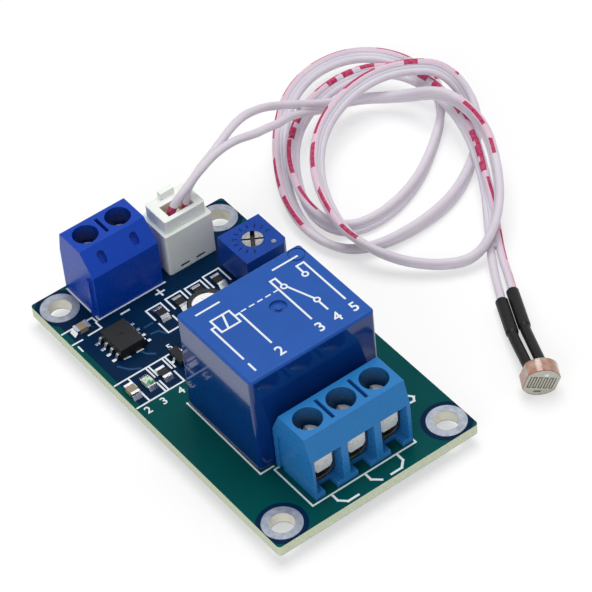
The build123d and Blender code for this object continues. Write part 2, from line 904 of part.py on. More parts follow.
def sweep_tube(points, diameter):
    corners = [Vector(*point) for point in points]
    radii = []
    for before, corner, after in zip(corners, corners[1:], corners[2:]):
        turn = math.radians((corner - before).get_angle(after - corner))
        shorter = min((corner - before).length, (after - corner).length)
        radii.append(0.45 * shorter / math.tan(turn / 2))
    print("lead radii", [round(radius, 1) for radius in radii])
    path = FilletPolyline(*corners, radius=radii)
    section = Plane(origin=path @ 0, z_dir=path % 0) * Circle(diameter / 2)
    return sweep(section, path=path)


def lead_coil():
    outer = Pos(coil_x, coil_middle_y) * Rot(0, 0, coil_turn) * Ellipse(coil_half_length, coil_half_width)
    hole = Pos(coil_hole_x, coil_middle_y) * Circle(coil_hole / 2)
    return chamfer(extrude(outer - hole, coil_height).edges(), coil_edge)


def along(start, end):
    start = Vector(*start)
    end = Vector(*end)
    return Plane(origin=start, x_dir=Vector(0, 0, 1).cross(end - start), z_dir=end - start)


# The sleeves are staggered, so one strand runs on alone to the nearer one.
def near_strand_end():
    run = (Vector(*near_sleeve[0]) - Vector(*near_strand)).length
    return along(near_strand, near_sleeve[0]) * post(strand_diameter / 2, 0, run)


def bent_wire(points, diameter):
    path = FilletPolyline(*[Vector(*point) for point in points], radius=sleeve_bend)
    return sweep(Plane(origin=path @ 0, z_dir=path % 0) * Circle(diameter / 2), path=path)


def sensor_sleeve(points):
    start, bend, end = points
    run = (Vector(*bend) - Vector(*start)).length
    big = sleeve_diameter / 2
    outline = [(0, 0), (big, 0), (big, run - sleeve_taper), (sleeve_bore, run), (0, run)]
    barrel = revolve(Plane.XZ * make_face(Polyline(*outline, close=True)), Axis.Z)
    sleeve = along(start, bend) * barrel + bent_wire([splice(points), bend, end], sleeve_neck)
    return sleeve - bent_wire(points, sleeve_bore) - sensor_cell()


def splice(points):
    start = Vector(*points[0])
    place = start + (Vector(*points[1]) - start) * splice_share
    return (place.X, place.Y, place.Z)


def sensor_leads():
    wires = [bent_wire([splice(points), *points[1:]], sleeve_bore) for points in (near_sleeve, far_sleeve)]
    return [wire - sensor_cell() for wire in wires]


def sensor_cell():
    frame = along(cell_back, cell_front) * Rot(0, 0, cell_roll)
    side = cell_flats / 2
    disc = post(cell_diameter / 2, 0, cell_thickness)
    disc = disc & block(-side, side, -cell_diameter, cell_diameter, 0, cell_thickness)
    return frame * disc


os.makedirs("parts", exist_ok=True)

write("circuit_board", circuit_board())
write("mounting_rings", *mounting_rings())
write("output_terminal_housing", output_housing())
write("power_terminal_housing", power_housing())
terminal_parts("output", output_poles, output_screw, place_output)
terminal_parts("power", power_poles, power_screw, place_power)
write("relay_cover", place_relay(relay_cover()))
write("relay_base", place_relay(relay_base_plate()))
write("relay_yoke", place_relay(relay_yoke()))
write("relay_core", place_relay(relay_core()))
write("relay_bobbin", place_relay(relay_bobbin()))
write("relay_winding", place_relay(relay_winding()))
write("relay_armature", place_relay(relay_armature()))
write("relay_moving_contact", place_relay(relay_moving_contact()))
write("relay_closed_contact", place_relay(relay_closed_contact()))
write("relay_open_contact", place_relay(relay_open_contact()))
write("relay_coil_pins", *[place_relay(pin) for pin in relay_coil_pins()])
write("relay_common_pin", place_relay(relay_common_pin()))
write("header_shell", header_shell())
write("header_pins", *header_pins())
write("plug_housing", plug_housing())
write("plug_contacts", *plug_contacts())
write("trimmer_body", trimmer_body())
write("trimmer_rotor", trimmer_rotor())
write("trimmer_pins", *trimmer_pins())
write("comparator_body", chip_body())
write("comparator_leads", *chip_leads())
write("transistor_body", transistor_body())
write("transistor_leads", *transistor_leads())
write("chip_resistors", *[chip_core(spot, resistor_height) for spot in resistor_spots])
write("chip_resistor_ends", *[end for spot in resistor_spots for end in chip_ends(spot, resistor_height)])
write("ceramic_capacitors", *[chip_core(spot, ceramic_height) for spot in ceramic_spots])
write("ceramic_capacitor_ends", *[end for spot in ceramic_spots for end in chip_ends(spot, ceramic_height)])
write("indicator_led", led_lens())
write("indicator_led_ends", *chip_ends(led_spot, led_base_height))
write("flyback_diode", diode_body())
write("flyback_diode_tabs", *diode_tabs())
write("capacitor_can", can_body())
write("capacitor_sleeve", can_sleeve())
write("capacitor_leads", *can_leads())
write("solder_joints", *solder_joints())
write("sensor_lead", sweep_tube(lead_arch, lead_diameter))
write("sensor_lead_coil", lead_coil())
write("sensor_lead_tail", sweep_tube(lead_tail, lead_diameter), near_strand_end())
write("sensor_sleeves", sensor_sleeve(near_sleeve), sensor_sleeve(far_sleeve))
write("sensor_cell", sensor_cell())
write("sensor_leads", *sensor_leads())
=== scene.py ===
import math

import bmesh
import bpy
from mathutils import Matrix, Vector


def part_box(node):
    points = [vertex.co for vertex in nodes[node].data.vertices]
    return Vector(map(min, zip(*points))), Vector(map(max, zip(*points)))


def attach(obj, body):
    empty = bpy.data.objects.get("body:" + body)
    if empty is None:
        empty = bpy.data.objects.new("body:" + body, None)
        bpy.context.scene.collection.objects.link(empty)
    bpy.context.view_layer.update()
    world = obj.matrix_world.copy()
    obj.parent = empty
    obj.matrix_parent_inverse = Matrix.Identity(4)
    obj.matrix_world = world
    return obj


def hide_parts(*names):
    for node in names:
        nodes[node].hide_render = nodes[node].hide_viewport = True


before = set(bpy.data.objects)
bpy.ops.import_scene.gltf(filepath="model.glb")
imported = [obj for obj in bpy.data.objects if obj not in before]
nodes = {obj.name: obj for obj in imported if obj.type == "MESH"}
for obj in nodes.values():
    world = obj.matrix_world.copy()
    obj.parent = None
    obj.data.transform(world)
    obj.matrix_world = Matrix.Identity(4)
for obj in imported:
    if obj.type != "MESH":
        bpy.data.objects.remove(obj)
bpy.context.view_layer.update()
MM = 0.001
BOARD = "board_assembly"


# Shader maths

class Value:
    """A socket of a finish, with arithmetic that adds Math nodes."""

    def __init__(self, finish, socket):
        self.finish = finish
        self.socket = socket

    def __add__(self, other):
        return self.finish.maths("ADD", self, other)

    def __sub__(self, other):
        return self.finish.maths("SUBTRACT", self, other)

    def __mul__(self, other):
        return self.finish.maths("MULTIPLY", self, other)

    def __truediv__(self, other):
        return self.finish.maths("DIVIDE", self, other)

    def __gt__(self, other):
        return self.finish.maths("GREATER_THAN", self, other)

    def __lt__(self, other):
        return self.finish.maths("LESS_THAN", self, other)

    def __radd__(self, other):
        return self.finish.maths("ADD", other, self)

    def __rsub__(self, other):
        return self.finish.maths("SUBTRACT", other, self)

    def __rmul__(self, other):
        return self.finish.maths("MULTIPLY", other, self)

    def __abs__(self):
        return self.finish.maths("ABSOLUTE", self)


class Finish:
    """One material: its shader, and one method that adds any other node."""

    def __init__(self, name, colour=(0.5, 0.5, 0.5), roughness=0.4, metallic=0.0, **fixed):
        self.material = bpy.data.materials.new(name)
        self.material.use_nodes = True
        self.tree = self.material.node_tree
        self.shader = self.tree.nodes["Principled BSDF"]
        self.set("Base Color", (*colour, 1.0))
        self.set("Roughness", roughness)
        self.set("Metallic", metallic)
        for socket, value in fixed.items():
            self.set(socket.replace("_", " ").title().replace("Ior", "IOR"), value)

    def set(self, socket, value):
        if isinstance(value, Value):
            self.tree.links.new(value.socket, self.shader.inputs[socket])
        else:
            self.shader.inputs[socket].default_value = value

    def node(self, kind, settings=(), sockets=(), output=0):
        """Adds a node, its settings first, then the values or links of its sockets."""
        node = self.tree.nodes.new(kind)
        for name, value in dict(settings).items():
            setattr(node, name, value)
        for name, value in dict(sockets).items():
            if isinstance(value, Value):
                self.tree.links.new(value.socket, node.inputs[name])
            else:
                node.inputs[name].default_value = value
        return Value(self, node.outputs[output])

    def maths(self, operation, *values):
        return self.node("ShaderNodeMath", {"operation": operation}, enumerate(values))

    def place(self):
        """Object coordinates in millimetres: the vector and its three numbers."""
        raw = self.node("ShaderNodeTexCoord", output="Object")
        vector = self.node("ShaderNodeVectorMath", {"operation": "SCALE"}, {"Vector": raw, "Scale": 1000.0})
        parts = [self.node("ShaderNodeSeparateXYZ", (), {"Vector": vector}, axis) for axis in "XYZ"]
        return vector, *parts

    def attribute(self, name):
        return self.node("ShaderNodeAttribute", {"attribute_name": name}, output="Fac")

    def noise(self, vector, scale, detail=2.0):
        return self.node("ShaderNodeTexNoise", (), {"Vector": vector, "Scale": scale, "Detail": detail})

    def ranged(self, value, start, end):
        """Nought at the start of a range, one at its end."""
        return self.node("ShaderNodeMapRange", (), {"Value": value, "From Min": start, "From Max": end})

    def mix(self, factor, low, high):
        low, high = [(*c, 1.0) if isinstance(c, tuple) and len(c) == 3 else c for c in (low, high)]
        return self.node("ShaderNodeMix", {"data_type": "RGBA"}, {0: factor, 6: low, 7: high}, 2)

    def bump(self, height, depth, radius=None):
        """Bump depth in millimetres, with an optional rounding of the edges."""
        sockets = {"Height": height, "Distance": depth * MM}
        if radius:
            sockets["Normal"] = self.rounding(radius)
        self.set("Normal", self.node("ShaderNodeBump", (), sockets))

    def rounding(self, radius):
        return self.node("ShaderNodeBevel", {"samples": 4}, {"Radius": radius * MM})

    def edges(self, radius):
        """Nearly one along sharp edges, nought on flats: the mask of painted edge highlights."""
        flat = self.node("ShaderNodeNewGeometry", output="Normal")
        normals = {0: self.rounding(radius), 1: flat}
        agree = self.node("ShaderNodeVectorMath", {"operation": "DOT_PRODUCT"}, normals, "Value")
        return self.ranged(1.0 - agree, 0.05, 0.25)


def between(value, low, high):
    """One between two numbers, nought outside."""
    return (value > low) * (value < high)


def near(value, middle, reach):
    """One within reach of a middle, nought past it."""
    return abs(value - middle) < reach


def away(x, y):
    """Distance from a middle, from the offsets along X and Y."""
    return x.finish.maths("SQRT", x * x + y * y)


def moulded(name, colour, roughness=0.38, tone=0.12, radius=0.1, grain=0.008, **fixed):
    """Injection moulded plastic: slight clouding, fine grain, edges softened."""
    finish = Finish(name, colour, roughness, specular_ior_level=0.18, **fixed)
    vector = finish.place()[0]
    cloud = finish.noise(vector, 0.35, 3.0)
    dark = tuple(c * (1 - tone) for c in colour)
    light = tuple(min(1.0, c * (1 + tone)) for c in colour)
    finish.set("Base Color", finish.mix(cloud, dark, light))
    finish.set("Roughness", finish.noise(vector, 1.3) * 0.12 + (roughness - 0.06))
    finish.bump(finish.noise(vector, 7.0), grain, radius)
    return finish


def metal(name, colour, roughness=0.25, tone=0.15, scale=1.2, radius=0.06, grain=0.002, metallic=1.0):
    """Plated or bare metal: patchy shine and fine scratches."""
    finish = Finish(name, colour, roughness, metallic)
    vector = finish.place()[0]
    patch = finish.noise(vector, scale, 3.0)
    finish.set("Base Color", finish.mix(patch, tuple(c * (1 - tone) for c in colour), colour))
    finish.set("Roughness", patch * 0.2 + (roughness - 0.1))
    finish.bump(finish.noise(vector, 3.0, 2.0), grain, radius)
    return finish


# Finishes

board_bottom = 1.8
board_top = 3.4
board_middle = (board_bottom + board_top) / 2
mask_thickness = 0.03
mount_spacing_x = 48.4
mount_spacing_y = 25.6
mount_halo = 3.3
copper_corners = ((-26.3, -14.7), (-3.0, 14.6))
relay_lid = 18.8
dial_x = -13.3
dial_y = 11.0
stop_x = -11.2
stop_y = 12.85
plug_x = -21.83
plug_y = 5.37
pole_pitch = 5.08
output_x = 20.3
output_poles = [pole_pitch * step for step in (-1, 0, 1)]
output_well = 3.8
power_x = -24.04
power_y = -4.86
power_poles = [power_y + pole_pitch * step for step in (-0.5, 0.5)]
power_well = 3.5
# Heights in the screw wells: the mouth, and the depth where the painted shade is darkest.
well_mouth = 13.3
well_dark = 11.6
dash_period = 8.0
block_period = 2.9


def board_finish():
    """Green mask, navy over the copper pour and round the holes, pale glass weave at the edge."""
    finish = Finish("circuit_board", roughness=0.3, specular_ior_level=0.03, coat_roughness=0.12)
    vector, x, y, z = finish.place()
    drift = finish.noise(vector, 0.12) * 0.6 + finish.noise(vector, 1.5) * 0.12
    green = finish.mix(drift, (0.0008, 0.052, 0.055), (0.0016, 0.098, 0.094))
    navy = finish.mix(drift, (0.0012, 0.012, 0.038), (0.0028, 0.030, 0.092))
    upper = z > board_middle
    (west, south), (east, north) = copper_corners
    pour = between(x, west, east) * between(y, south, north) * upper
    halo = away(abs(x) - mount_spacing_x / 2, abs(y) - mount_spacing_y / 2) < mount_halo
    copper = finish.maths("MAXIMUM", pour, halo * upper)
    mask = finish.mix(copper, green, navy)
    weave = finish.node("ShaderNodeTexWave", {"wave_type": "BANDS", "bands_direction": "Z"},
                        {"Vector": vector, "Scale": 1.6, "Distortion": 2.5, "Detail": 2.0})
    flecks = finish.mix(finish.noise(vector, 4.0, 3.0), (0.34, 0.46, 0.30), (0.86, 0.88, 0.70))
    glass = finish.mix(weave * 0.5, flecks, (0.80, 0.83, 0.64))
    edge = between(z, board_bottom + mask_thickness, board_top - mask_thickness)
    finish.set("Base Color", finish.mix(edge, mask, glass))
    finish.set("Roughness", edge * 0.4 + finish.noise(vector, 2.0) * 0.1 + 0.2)
    finish.set("Coat Weight", 0.015 - edge * 0.015)
    finish.bump(finish.noise(vector, 3.0), 0.004, 0.05)
    return finish


def plating_finish():
    """Tinned pads, with the bore painted pale cream as painted light, standing in for the bright floor seen
    through the hole.
    """
    finish = Finish("plating", roughness=0.4, metallic=0.5)
    vector, _, _, z = finish.place()
    worn = finish.noise(vector, 1.4, 5.0)
    pad = finish.mix(worn, (0.13, 0.15, 0.19), (0.42, 0.45, 0.52))
    # Painted light: the bore wall painted pale cream and less metallic, for the bright floor seen through the
    # hole.
    bore = between(z, board_bottom + 0.05, board_top + 0.02)
    finish.set("Base Color", finish.mix(bore, pad, (0.90, 0.88, 0.76)))
    finish.set("Metallic", 0.55 - bore * 0.5)
    finish.set("Roughness", worn * 0.2 + 0.3)
    finish.bump(finish.noise(vector, 2.0, 3.0), 0.006)
    return finish


def relay_finish():
    """Satin lid, polished sides; the lid painted a lighter blue and the sides a darker blue, as painted light.
    """
    finish = Finish("relay_blue", roughness=0.3, specular_ior_level=0.15, coat_roughness=0.04)
    vector, _, _, z = finish.place()
    cloud = finish.noise(vector, 0.3, 3.0)
    lid = z > relay_lid
    # Painted light: lit and shaded copies of the one blue, lighter on the lid and darker on the sides.
    top = finish.mix(cloud, (0.009, 0.072, 0.34), (0.015, 0.100, 0.43))
    side = finish.mix(cloud, (0.0015, 0.025, 0.15), (0.003, 0.037, 0.21))
    # Painted highlight: a paler blue along the relay's sharp edges.
    edge_highlighted = finish.mix(finish.edges(0.14) * 0.55, finish.mix(lid, side, top), (0.12, 0.26, 0.60))
    finish.set("Base Color", edge_highlighted)
    finish.set("Roughness", lid * 0.28 + finish.noise(vector, 1.1) * 0.05 + 0.08)
    finish.set("Coat Weight", 0.5 - lid * 0.47)
    finish.bump(finish.noise(vector, 4.0) * lid, 0.01, 0.12)
    return finish


def trimmer_finish():
    """Blue case with painted shade in the dial cut into it, and a pale stop in its small hole."""
    finish = Finish("trimmer_blue", roughness=0.32, specular_ior_level=0.15)
    vector, x, y, z = finish.place()
    cloud = finish.noise(vector, 0.5, 3.0)
    blue = finish.mix(cloud, (0.004, 0.042, 0.27), (0.009, 0.064, 0.38))
    # Painted shade: the faces cut below the case top around the dial are painted a dark blue.
    cut = between(z, 7.0, 8.655) * near(x, dial_x, 2.9) * near(y, dial_y, 2.9)
    cut_shaded = finish.mix(cut, blue, (0.004, 0.012, 0.10))
    stop = near(x, stop_x, 0.36) * near(y, stop_y, 0.36) * between(z, 7.8, 8.66)
    finish.set("Base Color", finish.mix(stop, cut_shaded, (0.72, 0.76, 0.80)))
    finish.set("Roughness", finish.noise(vector, 1.3) * 0.12 + 0.27)
    finish.bump(finish.noise(vector, 6.0), 0.008, 0.1)
    return finish


def rotor_finish():
    """Dull nickel dial, with painted shade nearly black down its cross slot."""
    finish = Finish("trimmer_rotor", roughness=0.4, metallic=0.25)
    vector, _, _, z = finish.place()
    worn = finish.noise(vector, 2.5, 3.0)
    # Painted shade: the faces down the cross slot, below the dial face, painted nearly black.
    slot = z < 8.62
    face = finish.mix(worn, (0.10, 0.10, 0.10), (0.58, 0.57, 0.55))
    finish.set("Base Color", finish.mix(slot, face, (0.020, 0.018, 0.018)))
    finish.set("Roughness", worn * 0.2 + 0.3)
    finish.bump(worn, 0.01, 0.06)
    return finish


def nylon_finish():
    """Milky connector nylon, with painted shade in amber down the plug's well and painted shade near black in
    the header's slots.
    """
    finish = Finish("white_nylon", roughness=0.42, specular_ior_level=0.3, subsurface_weight=0.25,
                    subsurface_scale=0.0008)
    vector, x, y, z = finish.place()
    cloud = finish.noise(vector, 0.3, 3.0)
    milk = finish.mix(cloud, (0.82, 0.86, 0.81), (0.95, 0.97, 0.93))
    well = near(x, plug_x, 1.3) * near(y, plug_y, 2.2) * between(z, 10.6, 12.15)
    # Painted shade: the faces inside the header's slots painted near black.
    slots = between(x, -20.6, -19.52) * near(abs(y - plug_y), 1.25, 0.72) * between(z, 3.86, 4.3)
    # Painted shade: a darker amber copy of the nylon down the plug's well.
    stain_and_shade = finish.mix(well, milk, (0.74, 0.70, 0.56))
    finish.set("Base Color", finish.mix(slots, stain_and_shade, (0.012, 0.014, 0.018)))
    finish.set("Roughness", finish.noise(vector, 1.3) * 0.12 + 0.36)
    finish.bump(finish.noise(vector, 2.5, 3.0), 0.03, 0.15)
    return finish


def led_finish():
    """Cloudy lens over a green marked base."""
    finish = Finish("led_clear", roughness=0.2, specular_ior_level=0.4)
    vector, _, _, z = finish.place()
    lens = finish.mix(finish.noise(vector, 2.0), (0.50, 0.60, 0.46), (0.82, 0.90, 0.78))
    patch = finish.ranged(finish.noise(vector, 1.9, 3.0), 0.50, 0.58)
    finish.set("Base Color", finish.mix(patch * (z > 3.7), lens, (0.05, 0.36, 0.17)))
    finish.set("Roughness", finish.noise(vector, 1.3) * 0.1 + 0.15)
    finish.bump(finish.noise(vector, 5.0), 0.01, 0.06)
    return finish


def lead_finish():
    """Lavender insulation with magenta roots, dashes down one edge and blocks on one face."""
    finish = Finish("lead_insulation", roughness=0.4, specular_ior_level=0.2, subsurface_weight=0.12,
                    subsurface_scale=0.0005)
    vector = finish.place()[0]
    along, edge, face, dashed, blocked = [finish.attribute(name) for name in print_attributes]
    tint = finish.noise(vector, 0.09, 2.0)
    base = finish.mix(tint, (0.60, 0.54, 0.63), (0.84, 0.79, 0.85))
    drift = finish.noise(vector, 0.35, 0.0) * 3.0
    step = finish.maths("FLOOR", (along + drift) / dash_period)
    chance = finish.node("ShaderNodeTexWhiteNoise", {"noise_dimensions": "1D"}, {"W": step})
    place = (along + drift) / dash_period - step
    dash = (place > chance * 0.25) * (place < chance * 0.3 + 0.62) * (dashed > 0.5)
    thin = dash * (edge > 0.5) * (face > -0.1) * (face < chance * 0.3 + 0.58)
    low = finish.maths("FLOOR", along / block_period)
    luck = finish.node("ShaderNodeTexWhiteNoise", {"noise_dimensions": "1D"}, {"W": low * 1.7 + 5.0})
    spot = along / block_period - low
    block = (spot > 0.08) * (spot < luck * 0.3 + 0.5) * (luck > 0.25)
    block = block * (face > 0.1) * (edge > luck - 1.1) * (blocked > 0.5)
    root = along < 1.45
    blush = (dashed > 0.5) * (edge > 0.0) * (face > -0.5) * 0.24
    ink = finish.maths("MINIMUM", thin + block + root, 1.0)
    worn = finish.maths("MINIMUM", finish.noise(vector, 2.2, 3.0) * 0.5 + 0.68, 1.0)
    stain_and_shade = finish.mix(blush, base, (0.80, 0.25, 0.46))
    finish.set("Base Color", finish.mix(ink * worn, stain_and_shade, (0.45, 0.006, 0.085)))
    finish.set("Roughness", ink * 0.1 + finish.noise(vector, 0.8) * 0.1 + 0.33)
    finish.bump(finish.noise(vector, 3.0), 0.008)
    return finish


def cell_finish():
    """Copper coloured rim that fades to cream under clear resin."""
    finish = Finish("cell_ceramic", roughness=0.16, coat_weight=0.8, coat_roughness=0.05)
    vector = finish.place()[0]
    cloud = finish.noise(vector, 0.8, 3.0)
    copper = finish.mix(cloud, (0.20, 0.045, 0.022), (0.52, 0.22, 0.13))
    pale = finish.ranged(finish.noise(vector, 0.45, 1.0), 0.52, 0.70)
    finish.set("Base Color", finish.mix(pale, copper, (0.55, 0.47, 0.38)))
    finish.bump(finish.noise(vector, 1.2), 0.05, 0.25)
    return finish


def block_finish(name, colour, middle_x, screws_y, well, rim):
    """A terminal block with a painted highlight along its edges and painted shade down the screw wells."""
    finish = Finish(name, colour, 0.3, specular_ior_level=0.18)
    vector, x, y, z = finish.place()
    cloud = finish.noise(vector, 0.35, 3.0)
    tone_and_painted_light = finish.mix(cloud, tuple(c * 0.93 for c in colour), tuple(c * 1.07 for c in colour))
    # Painted highlight: a paler copy of the block's blue along its sharp edges, weighted by rim.
    pale = tuple(min(1.0, c * 1.8 + 0.10) for c in colour)
    tone_and_painted_light = finish.mix(finish.edges(0.12) * rim, tone_and_painted_light, pale)
    # Painted shade: the block's blue darkened down each screw well, darker towards the bottom.
    shaded = tuple(c * 0.12 for c in colour)
    for screw_y in screws_y:
        inside = away(x - middle_x, y - screw_y) < well / 2 + 0.04
        depth = finish.ranged(z, well_mouth, well_dark)
        tone_and_painted_light = finish.mix(inside * (depth * 0.5 + 0.2) * (z < well_mouth + 0.02), tone_and_painted_light, shaded)
    finish.set("Base Color", tone_and_painted_light)
    finish.set("Roughness", finish.noise(vector, 1.3) * 0.12 + 0.22)
    finish.bump(finish.noise(vector, 7.0), 0.008, 0.12)
    return finish


print_attributes = ("along", "edge", "face", "dashed", "blocked")
output_blue = (0.020, 0.190, 0.50)
power_blue = (0.003, 0.052, 0.42)
finishes = {
    "circuit_board": board_finish(),
    "plating": plating_finish(),
    "output_block_blue": block_finish("output_block_blue", output_blue, output_x, output_poles,
                                      output_well, 0.5),
    "power_block_blue": block_finish("power_block_blue", power_blue, power_x, power_poles,
                                     power_well, 0.3),
    "relay_blue": relay_finish(),
    "trimmer_blue": trimmer_finish(),
    "terminal_steel": metal("terminal_steel", (0.90, 0.91, 0.92), 0.24, metallic=0.6),
    "terminal_brass": metal("terminal_brass", (0.30, 0.28, 0.25), 0.34, 0.35),
    "black_plastic": moulded("black_plastic", (0.012, 0.013, 0.014), 0.46, 0.35, 0.05, 0.015),
    "bobbin_plastic": moulded("bobbin_plastic", (0.55, 0.50, 0.40), 0.45),
    "white_nylon": nylon_finish(),
    "iron": metal("iron", (0.42, 0.42, 0.42), 0.4),
    "copper_wire": metal("copper_wire", (0.72, 0.25, 0.09), 0.3, 0.3, 6.0),
    "tinned_leads": metal("tinned_leads", (0.90, 0.91, 0.92), 0.2, 0.2, 1.5, 0.04),
    "ceramic_tan": moulded("ceramic_tan", (0.30, 0.25, 0.17), 0.4, 0.2, 0.05),
    "resistor_black": moulded("resistor_black", (0.020, 0.021, 0.024), 0.3, 0.3, 0.04),
    "led_clear": led_finish(),
    "can_aluminium": metal("can_aluminium", (0.84, 0.85, 0.86), 0.22, 0.08),
    "sleeve_black": moulded("sleeve_black", (0.006, 0.006, 0.007), 0.22, 0.3, 0.06, coat_weight=0.4),
    "solder": metal("solder", (0.88, 0.89, 0.90), 0.2, 0.3, 1.5, 0.05, 0.01),
    "lead_insulation": lead_finish(),
    "shrink_sleeve": moulded("shrink_sleeve", (0.006, 0.006, 0.007), 0.42, 0.4, 0.08, 0.02),
    "cell_ceramic": cell_finish(),
}
rotor = rotor_finish()
guard_plate = metal("guard_plate", (0.97, 0.97, 0.95), 0.28, 0.03, radius=None, grain=0.0, metallic=0.35)
ink_white = moulded("ink_white", (0.80, 0.85, 0.88), 0.5, 0.08, None, 0.005)
trace_blue = moulded("trace_blue", (0.006, 0.060, 0.16), 0.3, 0.2, None, 0.005)
cream = moulded("cell_face", (0.50, 0.52, 0.44), 0.2, 0.12, None, 0.01, coat_weight=0.6)
film = moulded("cell_track", (0.13, 0.085, 0.06), 0.3, 0.2, None, 0.005, coat_weight=0.6)
spark = moulded("cell_dot", (0.82, 0.84, 0.78), 0.15, 0.05, None, 0.005, coat_weight=0.6)

for name, piece in nodes.items():
    for slot in piece.material_slots:
        base = slot.material.name.split(".")[0] if slot.material else ""
        if base in finishes:
            slot.material = finishes[base].material
        if name == "trimmer_rotor":
            slot.material = rotor.material
        if "wire_guard" in name:
            slot.material = guard_plate.material


def new_piece(name, bm, finish, body=BOARD, smooth=False):
    """A mesh in millimetres becomes a piece of the scene that rides on a body."""
    bmesh.ops.scale(bm, vec=(MM, MM, MM), verts=bm.verts)
    mesh = bpy.data.meshes.new(name)
    bm.to_mesh(mesh)
    bm.free()
    mesh.materials.append(finish.material)
    if smooth:
        mesh.shade_smooth()
    piece = bpy.data.objects.new(name, mesh)
    bpy.context.scene.collection.objects.link(piece)
    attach(piece, body)
    return piece


# Sensor lead

plug_hole_gap = 2.5
strand = 1.15
arch = [
    (-21.83, 5.3, 10.6), (-21.83, 6.1, 12.9), (-21.8, 8.3, 15.1), (-21.9, 11.2, 16.9), (-22.4, 15.0, 17.8),
    (-24.1, 19.8, 16.4), (-26.8, 24.6, 13.0), (-29.7, 29.2, 9.2),
]
first_turn = [
    (-31.7, 36.3, 4.2), (-31.7, 41.9, 2.4), (-27.9, 46.2, 2.6), (-22.0, 49.0, 6.0), (-16.5, 49.3, 6.8),
    (-11.2, 48.4, 6.6), (-6.1, 45.8, 6.2), (-1.3, 42.6, 5.4), (2.0, 39.0, 4.0),
]
second_turn = [
    (3.0, 35.0, 1.6), (1.3, 30.9, 1.6), (-2.1, 27.1, 2.2), (-5.8, 24.5, 3.4), (-10.5, 23.3, 4.4),
    (-17.0, 24.9, 5.2), (-23.4, 28.6, 4.6), (-28.1, 33.3, 4.6), (-30.2, 38.4, 5.4), (-30.4, 43.9, 6.2),
    (-28.6, 48.7, 6.4), (-25.4, 52.5, 6.0), (-21.3, 53.7, 2.4), (-16.0, 50.8, 1.4),
]
third_turn = [
    (-11.3, 45.6, 1.2), (-8.1, 39.7, 1.2), (-7.1, 33.3, 1.2), (-7.6, 27.2, 1.2), (-9.9, 22.9, 1.2),
    (-15.2, 21.3, 1.2), (-21.7, 22.6, 1.4), (-27.4, 25.5, 2.4), (-32.1, 29.1, 4.0), (-36.5, 33.9, 4.2),
    (-39.8, 40.4, 3.2), (-39.5, 46.8, 2.6), (-35.2, 51.0, 2.6), (-29.1, 53.3, 1.2), (-23.4, 50.6, 1.2),
]
fourth_turn = [
    (-18.0, 44.6, 1.2), (-13.7, 38.1, 1.2), (-11.6, 31.1, 1.2), (-12.6, 25.3, 1.2), (-17.2, 23.1, 2.2),
    (-24.1, 25.3, 3.0), (-29.4, 29.1, 4.0), (-32.9, 34.5, 4.4), (-34.9, 41.1, 3.8), (-34.2, 47.0, 3.2),
    (-30.1, 50.0, 3.4), (-23.1, 50.6, 3.6), (-14.3, 48.3, 4.0), (-5.9, 44.0, 3.0),
]
tail = [(0.6, 39.7, 1.6), (4.0, 37.4, 1.2), (7.6, 35.4, 1.2), (9.96, 34.14, 1.1), (12.0, 33.0, 1.05)]

sleeve_gap = 0.87
web_thickness = 0.95
web_shift = 9.0

# Stops by distance along the lead, in millimetres: lean in degrees, half the strands' spacing, print
lean_stops = [
    (0, 0), (5, 38), (8, 48), (18, 128), (27, 130), (45, 205), (75, 170), (100, 150), (128, 130),
    (150, 135), (175, 190), (195, 140), (215, 112), (240, 120), (262, 180), (282, 205), (300, 140),
    (322, 130), (340, 150), (360, 170),
]
spread_stops = [
    (0, plug_hole_gap / 2), (2, 1.15), (6, strand / 2), (8.5, strand / 2), (19, 1.45), (22, 1.45),
    (36, strand / 2),
]
dashed_stops = [
    (0, 0), (62, 0), (63, 1), (74, 1), (75, 0), (106, 0), (107, 1), (152, 1), (153, 0),
    (198, 0), (199, 1), (250, 1), (251, 0), (288, 0), (289, 1), (375, 1),
]
blocked_stops = [(0, 0), (136, 0), (137, 1), (150, 1), (151, 0), (298, 0), (299, 1), (350, 1), (351, 0)]


def spline_points(name, points):
    """Points along the smooth line that the chosen points steer, in millimetres."""
    curve = bpy.data.curves.new(name, "CURVE")
    curve.dimensions = "3D"
    curve.resolution_u = 9
    spline = curve.splines.new("NURBS")
    spline.points.add(len(points) - 1)
    for control, point in zip(spline.points, points):
        control.co = (*point, 1.0)
    spline.order_u = 3
    spline.use_endpoint_u = True
    holder = bpy.data.objects.new(name, curve)
    bpy.context.scene.collection.objects.link(holder)
    line = bpy.data.meshes.new_from_object(holder)
    result = [vertex.co.copy() for vertex in line.vertices]
    bpy.data.objects.remove(holder)
    bpy.data.meshes.remove(line)
    return result


def measured(points):
    """Distance from the start to each point."""
    total = [0.0]
    for before, after in zip(points, points[1:]):
        total.append(total[-1] + (after - before).length)
    return total


def blend_value(x, stops):
    """Easy blend between (place, value) stops."""
    for (a, low), (b, high) in zip(stops, stops[1:]):
        if x <= b:
            share = max(0.0, (x - a) / (b - a))
            return low + (high - low) * share * share * (3 - 2 * share)
    return stops[-1][1]


def lead_frames(line):
    """For each point: distance, place, the pair's wide way and the way ahead."""
    distances = measured(line)
    total = distances[-1]
    frames = []
    for index, (point, distance) in enumerate(zip(line, distances)):
        ahead = (line[min(index + 1, len(line) - 1)] - line[max(index - 1, 0)]).normalized()
        level = Vector((0, 0, 1)).cross(ahead).normalized()
        upright = ahead.cross(level)
        wide = Matrix.Rotation(math.radians(blend_value(distance, lean_stops)), 3, ahead) @ upright
        flat = blend_value(distance, [(total - 26, 0.0), (total - 8, 1.0)])
        if flat > 0:
            wide = wide.lerp(-level, flat)
        frames.append((distance, point, wide.normalized(), ahead))
    return frames


